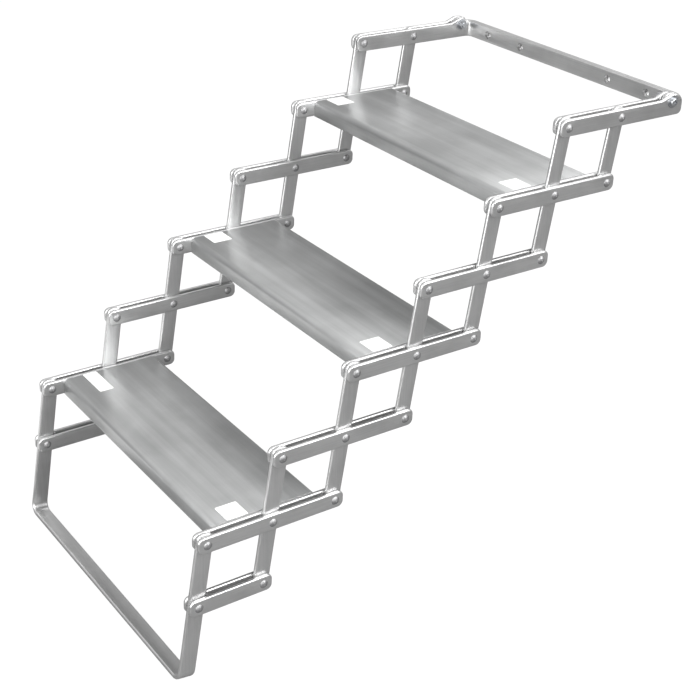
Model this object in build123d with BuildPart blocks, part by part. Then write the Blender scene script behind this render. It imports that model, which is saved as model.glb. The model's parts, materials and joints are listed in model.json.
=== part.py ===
from build123d import *
import os
from math import cos, radians, sin

# Three-tread scissor step for a caravan door, millimetres
# X runs across the step, the vehicle lies towards +Y, +Z is up
# The origin is the centre of the mounting bar's back face, at the height of its screw holes

# Flat bar stock
bar_width = 25.4
bar_thickness = 6.35
end_reach = 14.0  # from the last pivot to the bar's end
end_corner = 9.0

# Scissor sides, each an outer bar, a link and an inner bar side by side
overall_width = 508.0
layer_gap = 0.4
hinge_pitch = 101.6  # between pivots along a level bar
link_pitch = 97.5  # between pivots along a link
open_lean = 8.0  # degrees that the links lean forward when the step stands open
folded_lean = 72.2  # degrees that they lean back when it is folded

# Rivets
rivet_diameter = 6.35
rivet_head_diameter = 12.7
rivet_head_height = 3.2
running_clearance = 0.05  # all round a rivet or a bolt

# Treads
tread_front = 82.0  # from the middle pivot to the nose
tread_rear = 80.0  # from the middle pivot to the back edge
tread_sheet = 3.2
nose_radius = 8.0

# Leg
leg_length = 222.0  # from the upper pivot to the bottom of the floor bar
leg_bend_radius = 12.0  # inside

# Stop pins between the foot level's bars
stop_pin_diameter = 5.0
stop_gap = 0.15

# Swing pivots
pivot_rise = 9.0  # above the middle of the bars
ear_height = 10.5  # metal above the pivot
ramp_foot = 20.7  # where the bar's edge starts to rise, ahead of the pivot
ramp_head = 3.0  # where it reaches the ear's height, ahead of the pivot
hanger_tail = 22.0  # from the pivot to the outer bar's rear end
tail_corner = 8.0
ear_corner = 16.0
bolt_diameter = 8.0
bolt_head_diameter = 13.0
bolt_head_height = 4.4
bolt_crown_radius = 3.0
socket_width = 5.0
socket_depth = 2.6
bolt_end = 1.5  # past the nut
washer_diameter = 18.5
washer_thickness = 1.6
nut_width = 13.0
nut_height = 6.5

# Crossbars at the vehicle
web_setback = 17.85  # from the pivot to the hanger crossbar's front face
web_gap = 0.6  # between the two crossbars
hanger_bend_radius = 8.0  # inside
mounting_bend_radius = 10.0  # inside
inner_hole_spacing = 203.2
outer_hole_spacing = 368.3
screw_hole_diameter = 11.0
access_hole_diameter = 12.7

# Levels from the hanger down to the foot
level_names = ("hanger", "upper_tread", "upper_tie", "middle_tread", "lower_tie", "lower_tread", "foot")
foot_level = len(level_names) - 1
tread_levels = (1, 3, 5)
side_names = {-1: "left", 1: "right"}

# Layers across one side, as distances from the middle plane to a bar's inner face
outer_face = overall_width / 2 - bar_thickness
link_face = outer_face - layer_gap - bar_thickness
inner_face = link_face - layer_gap - bar_thickness
stack_width = overall_width / 2 - inner_face
half_bar = bar_width / 2

# Places seen from the side
swing_y = -(2 * bar_thickness + web_gap + web_setback)
along_link = Vector(0, -sin(radians(open_lean)), -cos(radians(open_lean)))
along_level = Vector(0, 1, 0)
level_step = along_link * link_pitch - along_level * hinge_pitch


def middle_pivot(level):
    """Middle pivot of a level's bars, in the middle plane."""
    return Vector(0, swing_y - hinge_pitch, 0) + level_step * level


def front_pivot(level):
    """Front pivot of a level's bars."""
    return middle_pivot(level) - along_level * hinge_pitch


def side_plane(origin, along, face, side):
    """Plane across X through a layer's lower-X face, its own x axis running along a bar."""
    start = face if side > 0 else -face - bar_thickness
    return Plane(origin=(start, origin.Y, origin.Z), x_dir=along, z_dir=(1, 0, 0))


def flat_bar(plane, distances):
    """Flat bar that runs past its end pivots, drilled at each distance from the first."""
    reach = distances[-1] + 2 * end_reach
    with BuildPart() as bar:
        with BuildSketch(plane):
            with Locations((distances[-1] / 2, 0)):
                RectangleRounded(reach, bar_width, end_corner)
            with Locations(*[(distance, 0) for distance in distances]):
                Circle(rivet_diameter / 2 + running_clearance, mode=Mode.SUBTRACT)
        extrude(amount=bar_thickness)
    return bar


def bent_bar_outline(plane, half_width, arm_end, crossbar_face, bend_radius):
    """Flat bar bent to a U, seen on its edge: two arms along y and a crossbar at their far end."""
    inside = half_width - bar_thickness
    with BuildSketch(plane) as outline:
        with BuildLine():
            FilletPolyline(
                (-half_width, arm_end),
                (-half_width, crossbar_face),
                (half_width, crossbar_face),
                (half_width, arm_end),
                radius=bend_radius + bar_thickness,
            )
            FilletPolyline(
                (-inside, arm_end),
                (-inside, crossbar_face - bar_thickness),
                (inside, crossbar_face - bar_thickness),
                (inside, arm_end),
                radius=bend_radius,
            )
            Line((-half_width, arm_end), (-inside, arm_end))
            Line((half_width, arm_end), (inside, arm_end))
        make_face()
    return outline.sketch


def hole_row(plane, diameter):
    """Two pairs of round holes along a crossbar."""
    with BuildSketch(plane) as row:
        for spacing in (inner_hole_spacing, outer_hole_spacing):
            with Locations((-spacing / 2, 0), (spacing / 2, 0)):
                Circle(diameter / 2)
    return row.sketch


def write(builder, name):
    """Label a finished piece and write it."""
    builder.part.label = name
    export_step(builder.part, f"parts/{name}.step")


os.makedirs("parts", exist_ok=True)

# Level bars, from the upper tread to the foot
for level in range(1, foot_level + 1):
    if level == foot_level:
        first_pivot = middle_pivot(level)
        distances = (0, hinge_pitch)
    else:
        first_pivot = front_pivot(level)
        distances = (0, hinge_pitch, 2 * hinge_pitch)
    for side in side_names:
        for layer, face in (("inner", inner_face), ("outer", outer_face)):
            level_bar = flat_bar(side_plane(first_pivot, along_level, face, side), distances)
            write(level_bar, f"{level_names[level]}_{layer}_bar_{side_names[side]}")

# Links, short ones behind the upper tread and five long pairs below
for side in side_names:
    short_link = flat_bar(
        side_plane(middle_pivot(0), along_link, link_face, side), (0, link_pitch)
    )
    write(short_link, f"short_link_{side_names[side]}")
    for number in range(1, foot_level):
        link = flat_bar(
            side_plane(front_pivot(number - 1), along_link, link_face, side),
            (0, link_pitch, 2 * link_pitch),
        )
        write(link, f"link_{number}_{side_names[side]}")

# Tread planks, sheet rolled down at the front and the back, between the inner bars
for level in tread_levels:
    centre = middle_pivot(level)
    nose = centre.Y - tread_front
    back = centre.Y + tread_rear
    top = centre.Z + half_bar
    bottom = centre.Z - half_bar
    with BuildPart() as plank:
        with BuildSketch(Plane.YZ.offset(-inner_face)):
            with BuildLine():
                FilletPolyline((nose, bottom), (nose, top), (back, top), (back, bottom), radius=nose_radius)
                FilletPolyline(
                    (nose + tread_sheet, bottom),
                    (nose + tread_sheet, top - tread_sheet),
                    (back - tread_sheet, top - tread_sheet),
                    (back - tread_sheet, bottom),
                    radius=nose_radius - tread_sheet,
                )
                Line((nose, bottom), (nose + tread_sheet, bottom))
                Line((back, bottom), (back - tread_sheet, bottom))
            make_face()
        extrude(amount=2 * inner_face)
    write(plank, f"{level_names[level]}_plank")

# Leg frame, one bar bent to a U, drilled for the lower tread and the foot level
leg_top = front_pivot(foot_level - 1)
across_leg = Vector(0, -along_link.Z, along_link.Y)
leg_half_width = link_face + bar_thickness
leg_plane = Plane(origin=leg_top, x_dir=(1, 0, 0), z_dir=across_leg)
leg_outline = bent_bar_outline(leg_plane, leg_half_width, -end_reach, leg_length, leg_bend_radius)
with BuildPart() as leg_frame:
    extrude(leg_outline, amount=half_bar, both=True)
    fillet(leg_frame.edges().filter_by(Axis.X).sort_by(Axis.Z)[-4:], radius=end_corner)
    with BuildSketch(Plane(origin=leg_top, x_dir=along_link, z_dir=(1, 0, 0))):
        with Locations((0, 0), (link_pitch, 0)):
            Circle(rivet_diameter / 2 + running_clearance)
    extrude(amount=leg_half_width, both=True, mode=Mode.SUBTRACT)
write(leg_frame, "leg_frame")

# Hanger outer bars, raised round the swing pivot
hanger_front = front_pivot(0).Y - end_reach
ear_top = pivot_rise + ear_height
for side in side_names:
    with BuildPart() as hanger_bar:
        with BuildSketch(side_plane(Vector(0, 0, 0), along_level, outer_face, side)) as outline:
            with BuildLine():
                Polyline(
                    (hanger_front, -half_bar),
                    (swing_y + hanger_tail, -half_bar),
                    (swing_y + hanger_tail, ear_top),
                    (swing_y - ramp_head, ear_top),
                    (swing_y - ramp_foot, half_bar),
                    (hanger_front, half_bar),
                    close=True,
                )
            make_face()
            fillet(outline.vertices().group_by(Axis.X)[0], radius=end_corner)
            fillet(outline.vertices().group_by(Axis.X)[-1].sort_by(Axis.Y)[0], radius=tail_corner)
            fillet(outline.vertices().group_by(Axis.X)[-1].sort_by(Axis.Y)[-1], radius=ear_corner)
            with Locations((front_pivot(0).Y, 0), (middle_pivot(0).Y, 0)):
                Circle(rivet_diameter / 2 + running_clearance, mode=Mode.SUBTRACT)
            with Locations((swing_y, pivot_rise)):
                Circle(bolt_diameter / 2 + running_clearance, mode=Mode.SUBTRACT)
        extrude(amount=bar_thickness)
    write(hanger_bar, f"hanger_outer_bar_{side_names[side]}")

# Hanger frame, the inner side bars and the crossbar in one bent bar
ear_rise = ear_top - half_bar
web_rear = swing_y + web_setback + bar_thickness
hanger_bend_start = web_rear - bar_thickness - hanger_bend_radius
frame_half_width = inner_face + bar_thickness
edge_plane = Plane.XY.offset(-half_bar)
frame_outline = bent_bar_outline(
    edge_plane, frame_half_width, hanger_front, web_rear, hanger_bend_radius
)
with BuildPart() as hanger_frame:
    extrude(frame_outline, amount=half_bar + ear_top)
    with BuildSketch(Plane.YZ) as frame_view:
        with BuildLine():
            Polyline(
                (hanger_front, -half_bar),
                (hanger_bend_start, -half_bar),
                (hanger_bend_start, ear_top),
                (swing_y - ramp_head, ear_top),
                (swing_y - ramp_foot, half_bar),
                (hanger_front, half_bar),
                close=True,
            )
        make_face()
        fillet(frame_view.vertices().group_by(Axis.X)[0], radius=end_corner)
        fillet(frame_view.vertices().sort_by(Axis.X)[-2:].sort_by(Axis.Y)[-1], radius=ear_rise)
        with Locations((hanger_bend_start, 0)):
            Rectangle(web_rear - hanger_bend_start, bar_width, align=(Align.MIN, Align.CENTER))
        with Locations((front_pivot(0).Y, 0), (middle_pivot(0).Y, 0)):
            Circle(rivet_diameter / 2 + running_clearance, mode=Mode.SUBTRACT)
        with Locations((swing_y, pivot_rise)):
            Circle(bolt_diameter / 2 + running_clearance, mode=Mode.SUBTRACT)
    extrude(amount=frame_half_width, both=True, mode=Mode.INTERSECT)
    extrude(hole_row(Plane.XZ.offset(-web_rear), access_hole_diameter), amount=bar_thickness, mode=Mode.SUBTRACT)
write(hanger_frame, "hanger_frame")

# Mounting bar, flat on the vehicle, its ends bent forward between the hanger's bars
mounting_bend_start = -bar_thickness - mounting_bend_radius
ear_front = swing_y - ear_height
mounting_outline = bent_bar_outline(edge_plane, leg_half_width, ear_front, 0, mounting_bend_radius)
with BuildPart() as mounting_bar:
    extrude(mounting_outline, amount=half_bar + ear_top)
    with BuildSketch(Plane.YZ) as ear_view:
        with Locations((ear_front, -half_bar)):
            Rectangle(mounting_bend_start - ear_front, half_bar + ear_top, align=Align.MIN)
        fillet(ear_view.vertices().group_by(Axis.X)[0].sort_by(Axis.Y)[0], radius=end_corner)
        fillet(ear_view.vertices().group_by(Axis.X)[0].sort_by(Axis.Y)[-1], radius=ear_height)
        fillet(ear_view.vertices().group_by(Axis.X)[-1].sort_by(Axis.Y)[-1], radius=ear_rise)
        with Locations((mounting_bend_start, 0)):
            Rectangle(-mounting_bend_start, bar_width, align=(Align.MIN, Align.CENTER))
        with Locations((swing_y, pivot_rise)):
            Circle(bolt_diameter / 2 + running_clearance, mode=Mode.SUBTRACT)
    extrude(amount=leg_half_width, both=True, mode=Mode.INTERSECT)
    extrude(hole_row(Plane.XZ, screw_hole_diameter), amount=bar_thickness, mode=Mode.SUBTRACT)
write(mounting_bar, "mounting_bar")

# One rivet, centred on its grip, its axis along X
head_sphere = (rivet_head_diameter**2 / 4 + rivet_head_height**2) / (2 * rivet_head_height)
with BuildPart() as rivet:
    with BuildSketch(Plane.XY):
        with BuildLine():
            Line((0, 0), (0, rivet_diameter / 2))
            Line((0, rivet_diameter / 2), (stack_width / 2, rivet_diameter / 2))
            Line((stack_width / 2, rivet_diameter / 2), (stack_width / 2, rivet_head_diameter / 2))
            RadiusArc(
                (stack_width / 2, rivet_head_diameter / 2),
                (stack_width / 2 + rivet_head_height, 0),
                head_sphere,
            )
            Line((stack_width / 2 + rivet_head_height, 0), (0, 0))
        make_face()
    revolve(axis=Axis.X)
    mirror(about=Plane.YZ)

# Rivets of each level, at every pivot that its bars share with a link
for level in range(foot_level + 1):
    pivots = [middle_pivot(level)]
    if level < foot_level:
        pivots.append(front_pivot(level))
    if level > 0:
        pivots.append(middle_pivot(level) + along_level * hinge_pitch)
    with BuildPart() as rivets:
        for side in side_names:
            rivet_x = side * (inner_face + stack_width / 2)
            with Locations(*[(rivet_x, pivot.Y, pivot.Z) for pivot in pivots]):
                add(rivet.part)
    write(rivets, f"{level_names[level]}_rivets")

# Stop pins, against the leg's rear edge when open and between leg and link when folded
leg_swing_half = radians(180 - open_lean - folded_lean) / 2
pin_reach = (half_bar + stop_pin_diameter / 2 + stop_gap) / sin(leg_swing_half)
pin_angle = radians(90 - open_lean) - leg_swing_half
pin_centre = middle_pivot(foot_level) + Vector(0, cos(pin_angle), sin(pin_angle)) * pin_reach
pin_length = outer_face - inner_face - bar_thickness
with BuildPart() as stop_pins:
    for side in side_names:
        start = inner_face + bar_thickness if side > 0 else -outer_face
        with BuildSketch(Plane.YZ.offset(start)):
            with Locations((pin_centre.Y, pin_centre.Z)):
                Circle(stop_pin_diameter / 2)
        extrude(amount=pin_length)
write(stop_pins, "stop_pins")


def swing_plane(face, side):
    """Plane across the swing pivot at a distance from the middle plane, facing outwards."""
    return Plane(origin=(side * face, swing_y, pivot_rise), x_dir=(0, 1, 0), z_dir=(side, 0, 0))


# Pivot bolts, button heads with a hexagon socket, outside the hanger bars
bolt_head_face = overall_width / 2 + washer_thickness
nut_face = inner_face - washer_thickness
bolt_length = bolt_head_face - nut_face + nut_height + bolt_end
with BuildPart() as pivot_bolts:
    for side in side_names:
        with BuildSketch(swing_plane(bolt_head_face, side)):
            Circle(bolt_diameter / 2)
        extrude(amount=-bolt_length)
        with BuildSketch(swing_plane(bolt_head_face, side)):
            Circle(bolt_head_diameter / 2)
        extrude(amount=bolt_head_height)
    crowns = pivot_bolts.edges().filter_by(GeomType.CIRCLE).group_by(Axis.X)
    fillet([crowns[0], crowns[-1]], radius=bolt_crown_radius)
    for side in side_names:
        with BuildSketch(swing_plane(bolt_head_face + bolt_head_height, side)):
            RegularPolygon(socket_width / 2, 6, major_radius=False)
        extrude(amount=-socket_depth, mode=Mode.SUBTRACT)
write(pivot_bolts, "pivot_bolts")

# Washers under the bolt heads and under the nuts
with BuildPart() as pivot_washers:
    for side in side_names:
        for face in (overall_width / 2, nut_face):
            with BuildSketch(swing_plane(face, side)):
                Circle(washer_diameter / 2)
                Circle(bolt_diameter / 2 + running_clearance, mode=Mode.SUBTRACT)
            extrude(amount=washer_thickness)
write(pivot_washers, "pivot_washers")

# Nuts inside the hanger frame
with BuildPart() as pivot_nuts:
    for side in side_names:
        with BuildSketch(swing_plane(nut_face, side)):
            RegularPolygon(nut_width / 2, 6, major_radius=False)
            Circle(bolt_diameter / 2 + running_clearance, mode=Mode.SUBTRACT)
        extrude(amount=-nut_height)
write(pivot_nuts, "pivot_nuts")
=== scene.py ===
import json
import math

import bmesh
import bpy
from mathutils import Matrix, Vector


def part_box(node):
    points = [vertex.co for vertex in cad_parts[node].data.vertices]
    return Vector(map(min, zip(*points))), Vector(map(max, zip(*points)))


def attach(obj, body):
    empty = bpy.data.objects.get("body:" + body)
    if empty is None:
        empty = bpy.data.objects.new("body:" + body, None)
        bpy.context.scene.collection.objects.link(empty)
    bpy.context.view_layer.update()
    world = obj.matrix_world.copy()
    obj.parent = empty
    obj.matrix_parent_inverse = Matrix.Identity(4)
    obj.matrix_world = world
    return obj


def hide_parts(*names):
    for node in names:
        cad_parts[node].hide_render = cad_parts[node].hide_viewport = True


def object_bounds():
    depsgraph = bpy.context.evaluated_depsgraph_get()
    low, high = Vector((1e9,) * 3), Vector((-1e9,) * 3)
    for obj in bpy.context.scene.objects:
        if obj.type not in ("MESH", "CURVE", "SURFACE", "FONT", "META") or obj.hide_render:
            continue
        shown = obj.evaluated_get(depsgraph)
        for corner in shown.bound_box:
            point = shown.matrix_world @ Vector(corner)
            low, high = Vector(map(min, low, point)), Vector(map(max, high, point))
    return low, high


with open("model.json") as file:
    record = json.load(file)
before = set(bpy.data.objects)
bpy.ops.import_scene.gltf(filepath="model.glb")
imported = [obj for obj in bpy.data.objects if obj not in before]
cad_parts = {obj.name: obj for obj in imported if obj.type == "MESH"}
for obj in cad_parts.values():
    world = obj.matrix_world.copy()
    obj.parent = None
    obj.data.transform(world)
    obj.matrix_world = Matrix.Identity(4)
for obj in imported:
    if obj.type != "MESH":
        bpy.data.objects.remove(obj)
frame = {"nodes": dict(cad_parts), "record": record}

CAD_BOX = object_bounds()

# Sizes of the finish, in metres
EDGE_RADIUS = 0.0026  # round edge of drawn flat bar
BENT_EDGE_RADIUS = 0.0015  # round edge of the bars bent at the vehicle
SHEET_EDGE_RADIUS = 0.0004  # cut edge of the tread sheet
BROAD_FACE = 0.0001  # square metres; the flat sides of the bars are larger, their roundings smaller
LARGEST_HOLE = 0.016  # rims of holes are smaller and stay square
SAME_POINT = 0.00001  # corners closer together than this are one corner
LEAN = math.radians(8.0)  # the links and the leg lean forward by this much

# Angles between neighbouring faces of a CAD node
FLAT_ANGLE = math.radians(1)  # below this, both are part of one flat face
CORNER_ANGLE = math.radians(40)  # above this, the edge between them is a corner of the outline
CREASE_ANGLE = math.radians(32)  # above this, the shading breaks at the edge

# The treads' bodies, from the top down
TREADS = ("upper_tread", "middle_tread", "lower_tread")


def body_of_node(node):
    """Name of the body that a CAD node belongs to."""
    for body, nodes in frame["record"]["behaviour"]["bodies"].items():
        if node in nodes:
            return body
    raise ValueError(node)


# Colours and shader nodes

def colour(hex_value):
    """sRGB hex value as linear red, green, blue and alpha."""
    channels = [int(hex_value[i:i + 2], 16) / 255 for i in (1, 3, 5)]
    linear = [c / 12.92 if c <= 0.04045 else ((c + 0.055) / 1.055) ** 2.4 for c in channels]
    return (*linear, 1.0)


def add(tree, kind, settings=None, **inputs):
    """One shader node with its settings; an input is a value or another node's output."""
    node = tree.nodes.new(kind)
    for name, value in (settings or {}).items():
        setattr(node, name, value)
    for name, value in inputs.items():
        socket = node.inputs[int(name[1:])] if name[1:].isdigit() else node.inputs[name.replace("_", " ")]
        if isinstance(value, bpy.types.NodeSocket):
            tree.links.new(value, socket)
        else:
            socket.default_value = value
    return node


def empty_material(name):
    """New node material with nothing but its output."""
    material = bpy.data.materials.new(name)
    material.use_nodes = True
    material.node_tree.nodes.clear()
    output = material.node_tree.nodes.new("ShaderNodeOutputMaterial")
    return material, material.node_tree, output


def ramp(tree, factor, stops):
    """Colour ramp between grey or coloured stops, given as (position, hex)."""
    node = add(tree, "ShaderNodeValToRGB", Fac=factor)
    elements = node.color_ramp.elements
    while len(elements) < len(stops):
        elements.new(0.5)
    for element, (position, hex_value) in zip(elements, stops):
        element.position = position
        element.color = colour(hex_value)
    return node


def drawn_metal(
    name, tones, grain, turn=(0, 0, 0), roughness=0.33, mottle="#F2F2F2", bare=0.93, relief=0.06,
):
    """Metal with lines left by drawing or brushing; grain gives lines per metre along each axis.

    Bare is the share that mirrors like clean metal; the rest scatters like thin oxide. Relief is
    the strength of the lines' bump.
    """
    material, tree, output = empty_material(name)
    place = add(tree, "ShaderNodeTexCoord")
    lined = add(tree, "ShaderNodeMapping", Vector=place.outputs["Object"], Rotation=turn, Scale=grain)
    lines = add(tree, "ShaderNodeTexNoise", Vector=lined.outputs[0], Scale=1.0, Detail=4.0, Roughness=0.6)
    shade = ramp(tree, lines.outputs["Fac"], [(0.3, tones[0]), (0.5, tones[1]), (0.72, tones[2])])
    clouds = add(tree, "ShaderNodeTexNoise", Vector=place.outputs["Object"], Scale=14.0, Detail=3.0)
    stain = ramp(tree, clouds.outputs["Fac"], [(0.35, mottle), (0.6, "#FFFFFF")])
    mixed = add(
        tree, "ShaderNodeMix", {"data_type": "RGBA", "blend_type": "MULTIPLY"},
        _0=1.0, _6=shade.outputs["Color"], _7=stain.outputs["Color"],
    )
    rough = add(
        tree, "ShaderNodeMapRange", Value=lines.outputs["Fac"],
        From_Min=0.3, From_Max=0.7, To_Min=roughness - 0.04, To_Max=roughness + 0.05,
    )
    bump = add(tree, "ShaderNodeBump", Strength=relief, Distance=0.0001, Height=lines.outputs["Fac"])
    surface = add(
        tree, "ShaderNodeBsdfPrincipled", Base_Color=mixed.outputs[2], Metallic=bare,
        Roughness=rough.outputs[0], Normal=bump.outputs[0],
    )
    tree.links.new(surface.outputs[0], output.inputs["Surface"])
    return material


# Mill-finish aluminium flat bar, drawn lengthwise: soft grey with fine lines along the bar
BAR_TONES = ("#CDCECE", "#D4D4D4", "#DADADA")
ACROSS = 900  # lines per metre across the bar
ALONG = 14  # changes per metre along a line
LEVEL_BAR = drawn_metal("mill_aluminium_level_bar", BAR_TONES, (ACROSS, ALONG, ACROSS))
LINK_BAR = drawn_metal("mill_aluminium_link", BAR_TONES, (ACROSS, ACROSS, ALONG), turn=(LEAN, 0, 0))

# The same bar bent cold to a U, its drawing lines following the bends
HANGER_BAR = drawn_metal("mill_aluminium_bent_flat", BAR_TONES, (ALONG, ALONG, ACROSS))
LEG_BAR = drawn_metal("mill_aluminium_bent_leg", BAR_TONES, (ALONG, ACROSS, ALONG), turn=(LEAN, 0, 0))

# Brushed aluminium sheet: broad lengthwise lighter and darker streaks in its colour are painted
# reflections of the bars and the tread above, smeared along the brushing; roughness and bump follow the
# same lines
TREAD_SHEET_PAINTED_REFLECTIONS = drawn_metal(
    "brushed_aluminium_tread_painted_reflections", ("#AEAFAF", "#BBBCBC", "#C9CACA"), (1.6, 45, 45),
    roughness=0.36, bare=0.85, relief=0.025,
)

# Formed aluminium rivets, satin: their heads are painted a little darker than the bars, a painted shade
# standing in for the shadow on the domes
RIVET_PAINTED_SHADE = drawn_metal(
    "formed_aluminium_rivet_painted_shade", ("#949495", "#9E9E9F", "#A8A8A8"), (120, 120, 120), roughness=0.5,
)

# Zinc plated steel: a little bluer and darker than the aluminium
ZINC = drawn_metal(
    "zinc_plated_steel", ("#A9ACB0", "#B8BABD", "#C6C8CA"), (160, 160, 160), roughness=0.32,
)


def label_film():
    """White vinyl film, plain, with a slight sheen."""
    material, tree, output = empty_material("white_vinyl_film")
    place = add(tree, "ShaderNodeTexCoord")
    grain = add(tree, "ShaderNodeTexNoise", Vector=place.outputs["Object"], Scale=220.0, Detail=2.0)
    shade = ramp(tree, grain.outputs["Fac"], [(0.3, "#F2F2F0"), (0.7, "#FAFAFA")])
    surface = add(tree, "ShaderNodeBsdfPrincipled", Base_Color=shade.outputs["Color"], Roughness=0.45)
    tree.links.new(surface.outputs[0], output.inputs["Surface"])
    return material


FILM = label_film()


# Metal pieces with rounded edges

def outline_edges(shape):
    """Sharp edges round a piece's outline, without the rims of its holes."""
    sharp = {e for e in shape.edges if e.calc_face_angle(0) > CORNER_ANGLE}
    kept = []
    while sharp:
        loop = [sharp.pop()]
        for edge in loop:
            for vert in edge.verts:
                joined = [e for e in vert.link_edges if e in sharp]
                sharp.difference_update(joined)
                loop.extend(joined)
        corners = [v.co for e in loop for v in e.verts]
        reach = max(max(c[i] for c in corners) - min(c[i] for c in corners) for i in range(3))
        if reach > LARGEST_HOLE:
            kept.extend(loop)
    return kept


def finished(node, material, slot, radius, segments=4):
    """Copy of a CAD node with its corners merged and, when a radius is given, its edges rounded, in place
    of the node.
    """
    shape = bmesh.new()
    shape.from_mesh(frame["nodes"][node].data)
    bmesh.ops.remove_doubles(shape, verts=shape.verts, dist=SAME_POINT)
    bmesh.ops.dissolve_limit(shape, angle_limit=FLAT_ANGLE, verts=shape.verts, edges=shape.edges)
    if radius:
        bmesh.ops.bevel(
            shape, geom=outline_edges(shape), offset=radius, offset_type="OFFSET",
            segments=segments, profile=0.5, affect="EDGES", clamp_overlap=False, material=-1,
        )
    for face in shape.faces:
        face.smooth = slot != "bar_aluminium" or face.calc_area() < BROAD_FACE
    mesh = bpy.data.meshes.new(f"{node}_finished")
    shape.to_mesh(mesh)
    shape.free()
    mesh.set_sharp_from_angle(angle=CREASE_ANGLE)
    mesh.materials.clear()
    mesh.materials.append(material)
    piece = bpy.data.objects.new(f"{node}_finished", mesh)
    bpy.context.scene.collection.objects.link(piece)
    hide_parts(node)
    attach(piece, body_of_node(node))


for node in sorted(frame["nodes"]):
    if node.endswith("_plank"):
        finished(node, TREAD_SHEET_PAINTED_REFLECTIONS, "tread_aluminium", SHEET_EDGE_RADIUS, segments=2)
    elif node.startswith("pivot_"):
        finished(node, ZINC, "zinc_plated_steel", None)
    elif node.endswith("_rivets") or node == "stop_pins":
        finished(node, RIVET_PAINTED_SHADE, "rivet_aluminium", None)
    elif "link" in node:
        finished(node, LINK_BAR, "bar_aluminium", EDGE_RADIUS)
    elif node in ("hanger_frame", "mounting_bar"):
        finished(node, HANGER_BAR, "bar_aluminium", BENT_EDGE_RADIUS)
    elif node == "leg_frame":
        finished(node, LEG_BAR, "bar_aluminium", EDGE_RADIUS)
    else:
        finished(node, LEVEL_BAR, "bar_aluminium", EDGE_RADIUS)


# Blank film patches at the ends of the treads

FILM_THICKNESS = 0.00015
FILM_CORNER = 0.0015  # radius
FILM_SIDE_GAP = 0.0012  # from the side bar to the film
FILM_DEPTH = 0.033
FILM_WIDTH = 0.034
FILM_SETBACK = 0.022  # from the nose to the film's front edge
LONG_FILM_WIDTH = 0.063
LONG_FILM_DEPTH = 0.023
LONG_FILM_SETBACK = 0.032


def film_patch(name, body, low, high):
    """Thin plain patch lying on a tread, between two corners seen from above."""
    shape = bmesh.new()
    bmesh.ops.create_cube(shape, size=1.0)
    size = Vector((high.x - low.x, high.y - low.y, FILM_THICKNESS))
    bmesh.ops.scale(shape, vec=size, verts=shape.verts)
    centre = Vector(((low.x + high.x) / 2, (low.y + high.y) / 2, low.z + FILM_THICKNESS / 2))
    bmesh.ops.translate(shape, vec=centre, verts=shape.verts)
    upright = [e for e in shape.edges if abs(e.verts[0].co.z - e.verts[1].co.z) > FILM_THICKNESS / 2]
    bmesh.ops.bevel(
        shape, geom=upright, offset=FILM_CORNER, offset_type="OFFSET", segments=4, profile=0.5,
        affect="EDGES", material=-1,
    )
    mesh = bpy.data.meshes.new(name)
    shape.to_mesh(mesh)
    shape.free()
    mesh.materials.append(FILM)
    piece = bpy.data.objects.new(name, mesh)
    bpy.context.scene.collection.objects.link(piece)
    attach(piece, body)


for tread in TREADS:
    low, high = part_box(f"{tread}_plank")
    left = low.x + FILM_SIDE_GAP
    right = high.x - FILM_SIDE_GAP
    front = low.y + FILM_SETBACK
    width = FILM_WIDTH
    depth = FILM_DEPTH
    film_patch(
        f"{tread}_film_right", tread,
        Vector((right - width, front, high.z)),
        Vector((right, front + depth, high.z)),
    )
    if tread == "lower_tread":
        front = low.y + LONG_FILM_SETBACK
        width = LONG_FILM_WIDTH
        depth = LONG_FILM_DEPTH
    film_patch(
        f"{tread}_film_left", tread,
        Vector((left, front, high.z)),
        Vector((left + width, front + depth, high.z)),
    )


# Floor

FLOOR_SIZE = 12.0
FLOOR_GAP = 0.0005  # below the foot of the step
FLOOR_GLOW = 1.6  # strength of the white that the camera sees
GLOW_SHARE = 0.6  # the rest of what the camera sees keeps the shadow


def floor_material():
    """Pale studio floor that reads white to the camera and keeps the object's soft shadow."""
    material, tree, output = empty_material("pale_studio_floor")
    place = add(tree, "ShaderNodeTexCoord")
    grain = add(tree, "ShaderNodeTexNoise", Vector=place.outputs["Object"], Scale=60.0, Detail=2.0)
    shade = ramp(tree, grain.outputs["Fac"], [(0.3, "#747474"), (0.7, "#7A7A7A")])
    matt = add(tree, "ShaderNodeBsdfDiffuse", Color=shade.outputs["Color"])
    white = add(tree, "ShaderNodeEmission", Color=colour("#FFFFFF"), Strength=FLOOR_GLOW)
    path = add(tree, "ShaderNodeLightPath")
    share = add(
        tree, "ShaderNodeMath", {"operation": "MULTIPLY"}, _0=path.outputs["Is Camera Ray"], _1=GLOW_SHARE,
    )
    mixed = add(tree, "ShaderNodeMixShader", _0=share.outputs[0], _1=matt.outputs[0], _2=white.outputs[0])
    tree.links.new(mixed.outputs[0], output.inputs["Surface"])
    return material


floor_shape = bmesh.new()
bmesh.ops.create_grid(floor_shape, x_segments=1, y_segments=1, size=FLOOR_SIZE / 2)
bmesh.ops.translate(floor_shape, vec=(0, 0, CAD_BOX[0][2] - FLOOR_GAP), verts=floor_shape.verts)
floor_mesh = bpy.data.meshes.new("studio_floor")
floor_shape.to_mesh(floor_mesh)
floor_shape.free()
floor_mesh.materials.append(floor_material())
floor = bpy.data.objects.new("studio_floor", floor_mesh)
bpy.context.scene.collection.objects.link(floor)


# Light

def soft_lamp(name, spot, target, size, power):
    """Rectangular area lamp at a spot, turned to a target, its size in metres and its power in watts."""
    lamp = bpy.data.lights.new(name, "AREA")
    lamp.shape = "RECTANGLE"
    lamp.size = size[0]
    lamp.size_y = size[1]
    lamp.energy = power
    piece = bpy.data.objects.new(name, lamp)
    bpy.context.scene.collection.objects.link(piece)
    piece.location = spot
    piece.rotation_euler = (target - spot).to_track_quat("-Z", "Y").to_euler()
    return piece


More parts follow.
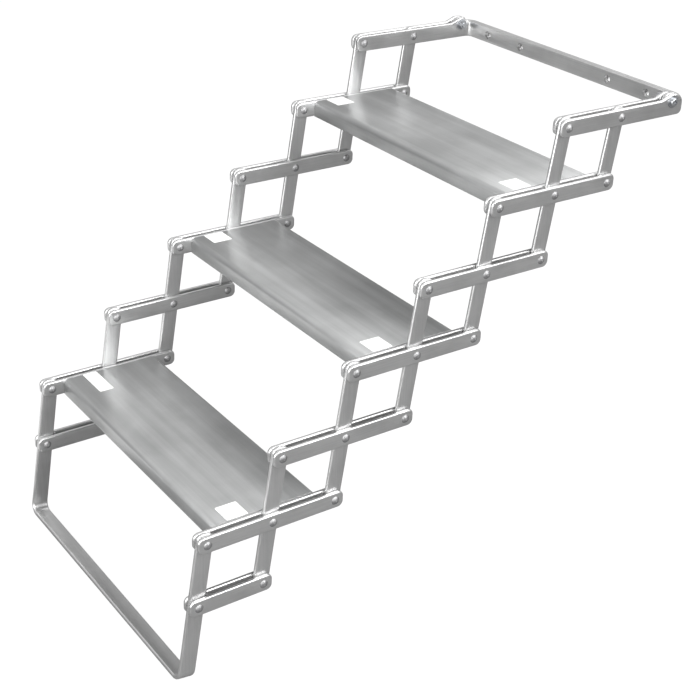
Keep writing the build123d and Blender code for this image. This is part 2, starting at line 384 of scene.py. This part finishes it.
MIDDLE = Vector((0, -0.42, -0.33))  # of the open step
soft_lamp("overhead_softbox", MIDDLE + Vector((0.4, 1.5, 2.1)), MIDDLE, (3.4, 1.4), 24)
soft_lamp("right_window", MIDDLE + Vector((2.45, 0.6, 1.95)), MIDDLE, (2.0, 1.7), 72)
soft_lamp("rear_window", MIDDLE + Vector((1.95, 1.45, 1.2)), MIDDLE, (1.2, 1.0), 8)
soft_lamp("front_window", MIDDLE + Vector((0.8, -2.5, 0.25)), MIDDLE, (3.0, 1.2), 34)
soft_lamp("front_floor_light", Vector((0.9, -1.9, 0.5)), Vector((0.7, -1.5, -0.7)), (2.0, 0.8), 30)

# A faint glowing card on the floor at the left front: the treads' noses mirror it
CARD_SPOT = Vector((-0.95, -1.3, CAD_BOX[0][2] + 0.002))
card = soft_lamp("nose_card", CARD_SPOT, CARD_SPOT + Vector((0, 0, 1)), (1.3, 1.3), 4.0)
card.visible_camera = False

# A pale room for the metal to mirror, plain white where the camera sees it
world = bpy.data.worlds.new("white_studio")
bpy.context.scene.world = world
world.use_nodes = True
world.node_tree.nodes.clear()
sky_output = world.node_tree.nodes.new("ShaderNodeOutputWorld")
direction = add(world.node_tree, "ShaderNodeTexCoord")
split = add(world.node_tree, "ShaderNodeSeparateXYZ", Vector=direction.outputs["Generated"])
sky = ramp(world.node_tree, split.outputs["Z"], [(0.0, "#A2A2A2"), (0.35, "#B6B6B6"), (0.7, "#EEEEEE")])
glow = add(world.node_tree, "ShaderNodeBackground", Color=sky.outputs["Color"], Strength=1.0)
plain = add(world.node_tree, "ShaderNodeBackground", Color=colour("#FFFFFF"), Strength=1.0)
ray = add(world.node_tree, "ShaderNodeLightPath")
both = add(
    world.node_tree, "ShaderNodeMixShader",
    _0=ray.outputs["Is Camera Ray"], _1=glow.outputs[0], _2=plain.outputs[0],
)
world.node_tree.links.new(both.outputs[0], sky_output.inputs["Surface"])


# Camera, at the photograph's angle

CAMERA_PLACE = Vector((1.5819, -1.5666, 0.6098))
CAMERA_AZIMUTH = math.radians(53.87)
CAMERA_ELEVATION = math.radians(25.53)
CAMERA_ROLL = math.radians(2.56)
FOCAL_PIXELS = 1401.0
FRAME_PIXELS = 700.0
AXIS_ABOVE_CENTRE = 50.0  # pixels by which the optical axis passes above the picture's centre

forward = Vector((
    -math.sin(CAMERA_AZIMUTH) * math.cos(CAMERA_ELEVATION),
    math.cos(CAMERA_AZIMUTH) * math.cos(CAMERA_ELEVATION),
    -math.sin(CAMERA_ELEVATION),
))
level_right = Vector((math.cos(CAMERA_AZIMUTH), math.sin(CAMERA_AZIMUTH), 0))
level_up = level_right.cross(forward)
right = level_right * math.cos(CAMERA_ROLL) + level_up * math.sin(CAMERA_ROLL)
up = right.cross(forward)
camera_data = bpy.data.cameras.new("photo_camera")
camera_data.sensor_width = 36.0
camera_data.lens = FOCAL_PIXELS / FRAME_PIXELS * camera_data.sensor_width
camera_data.shift_y = -AXIS_ABOVE_CENTRE / FRAME_PIXELS
camera = bpy.data.objects.new("photo_camera", camera_data)
bpy.context.scene.collection.objects.link(camera)
turned = Matrix((right, up, -forward)).transposed().to_4x4()
camera.matrix_world = Matrix.Translation(CAMERA_PLACE) @ turned
bpy.context.scene.camera = camera

bpy.context.scene.view_settings.view_transform = "Standard"
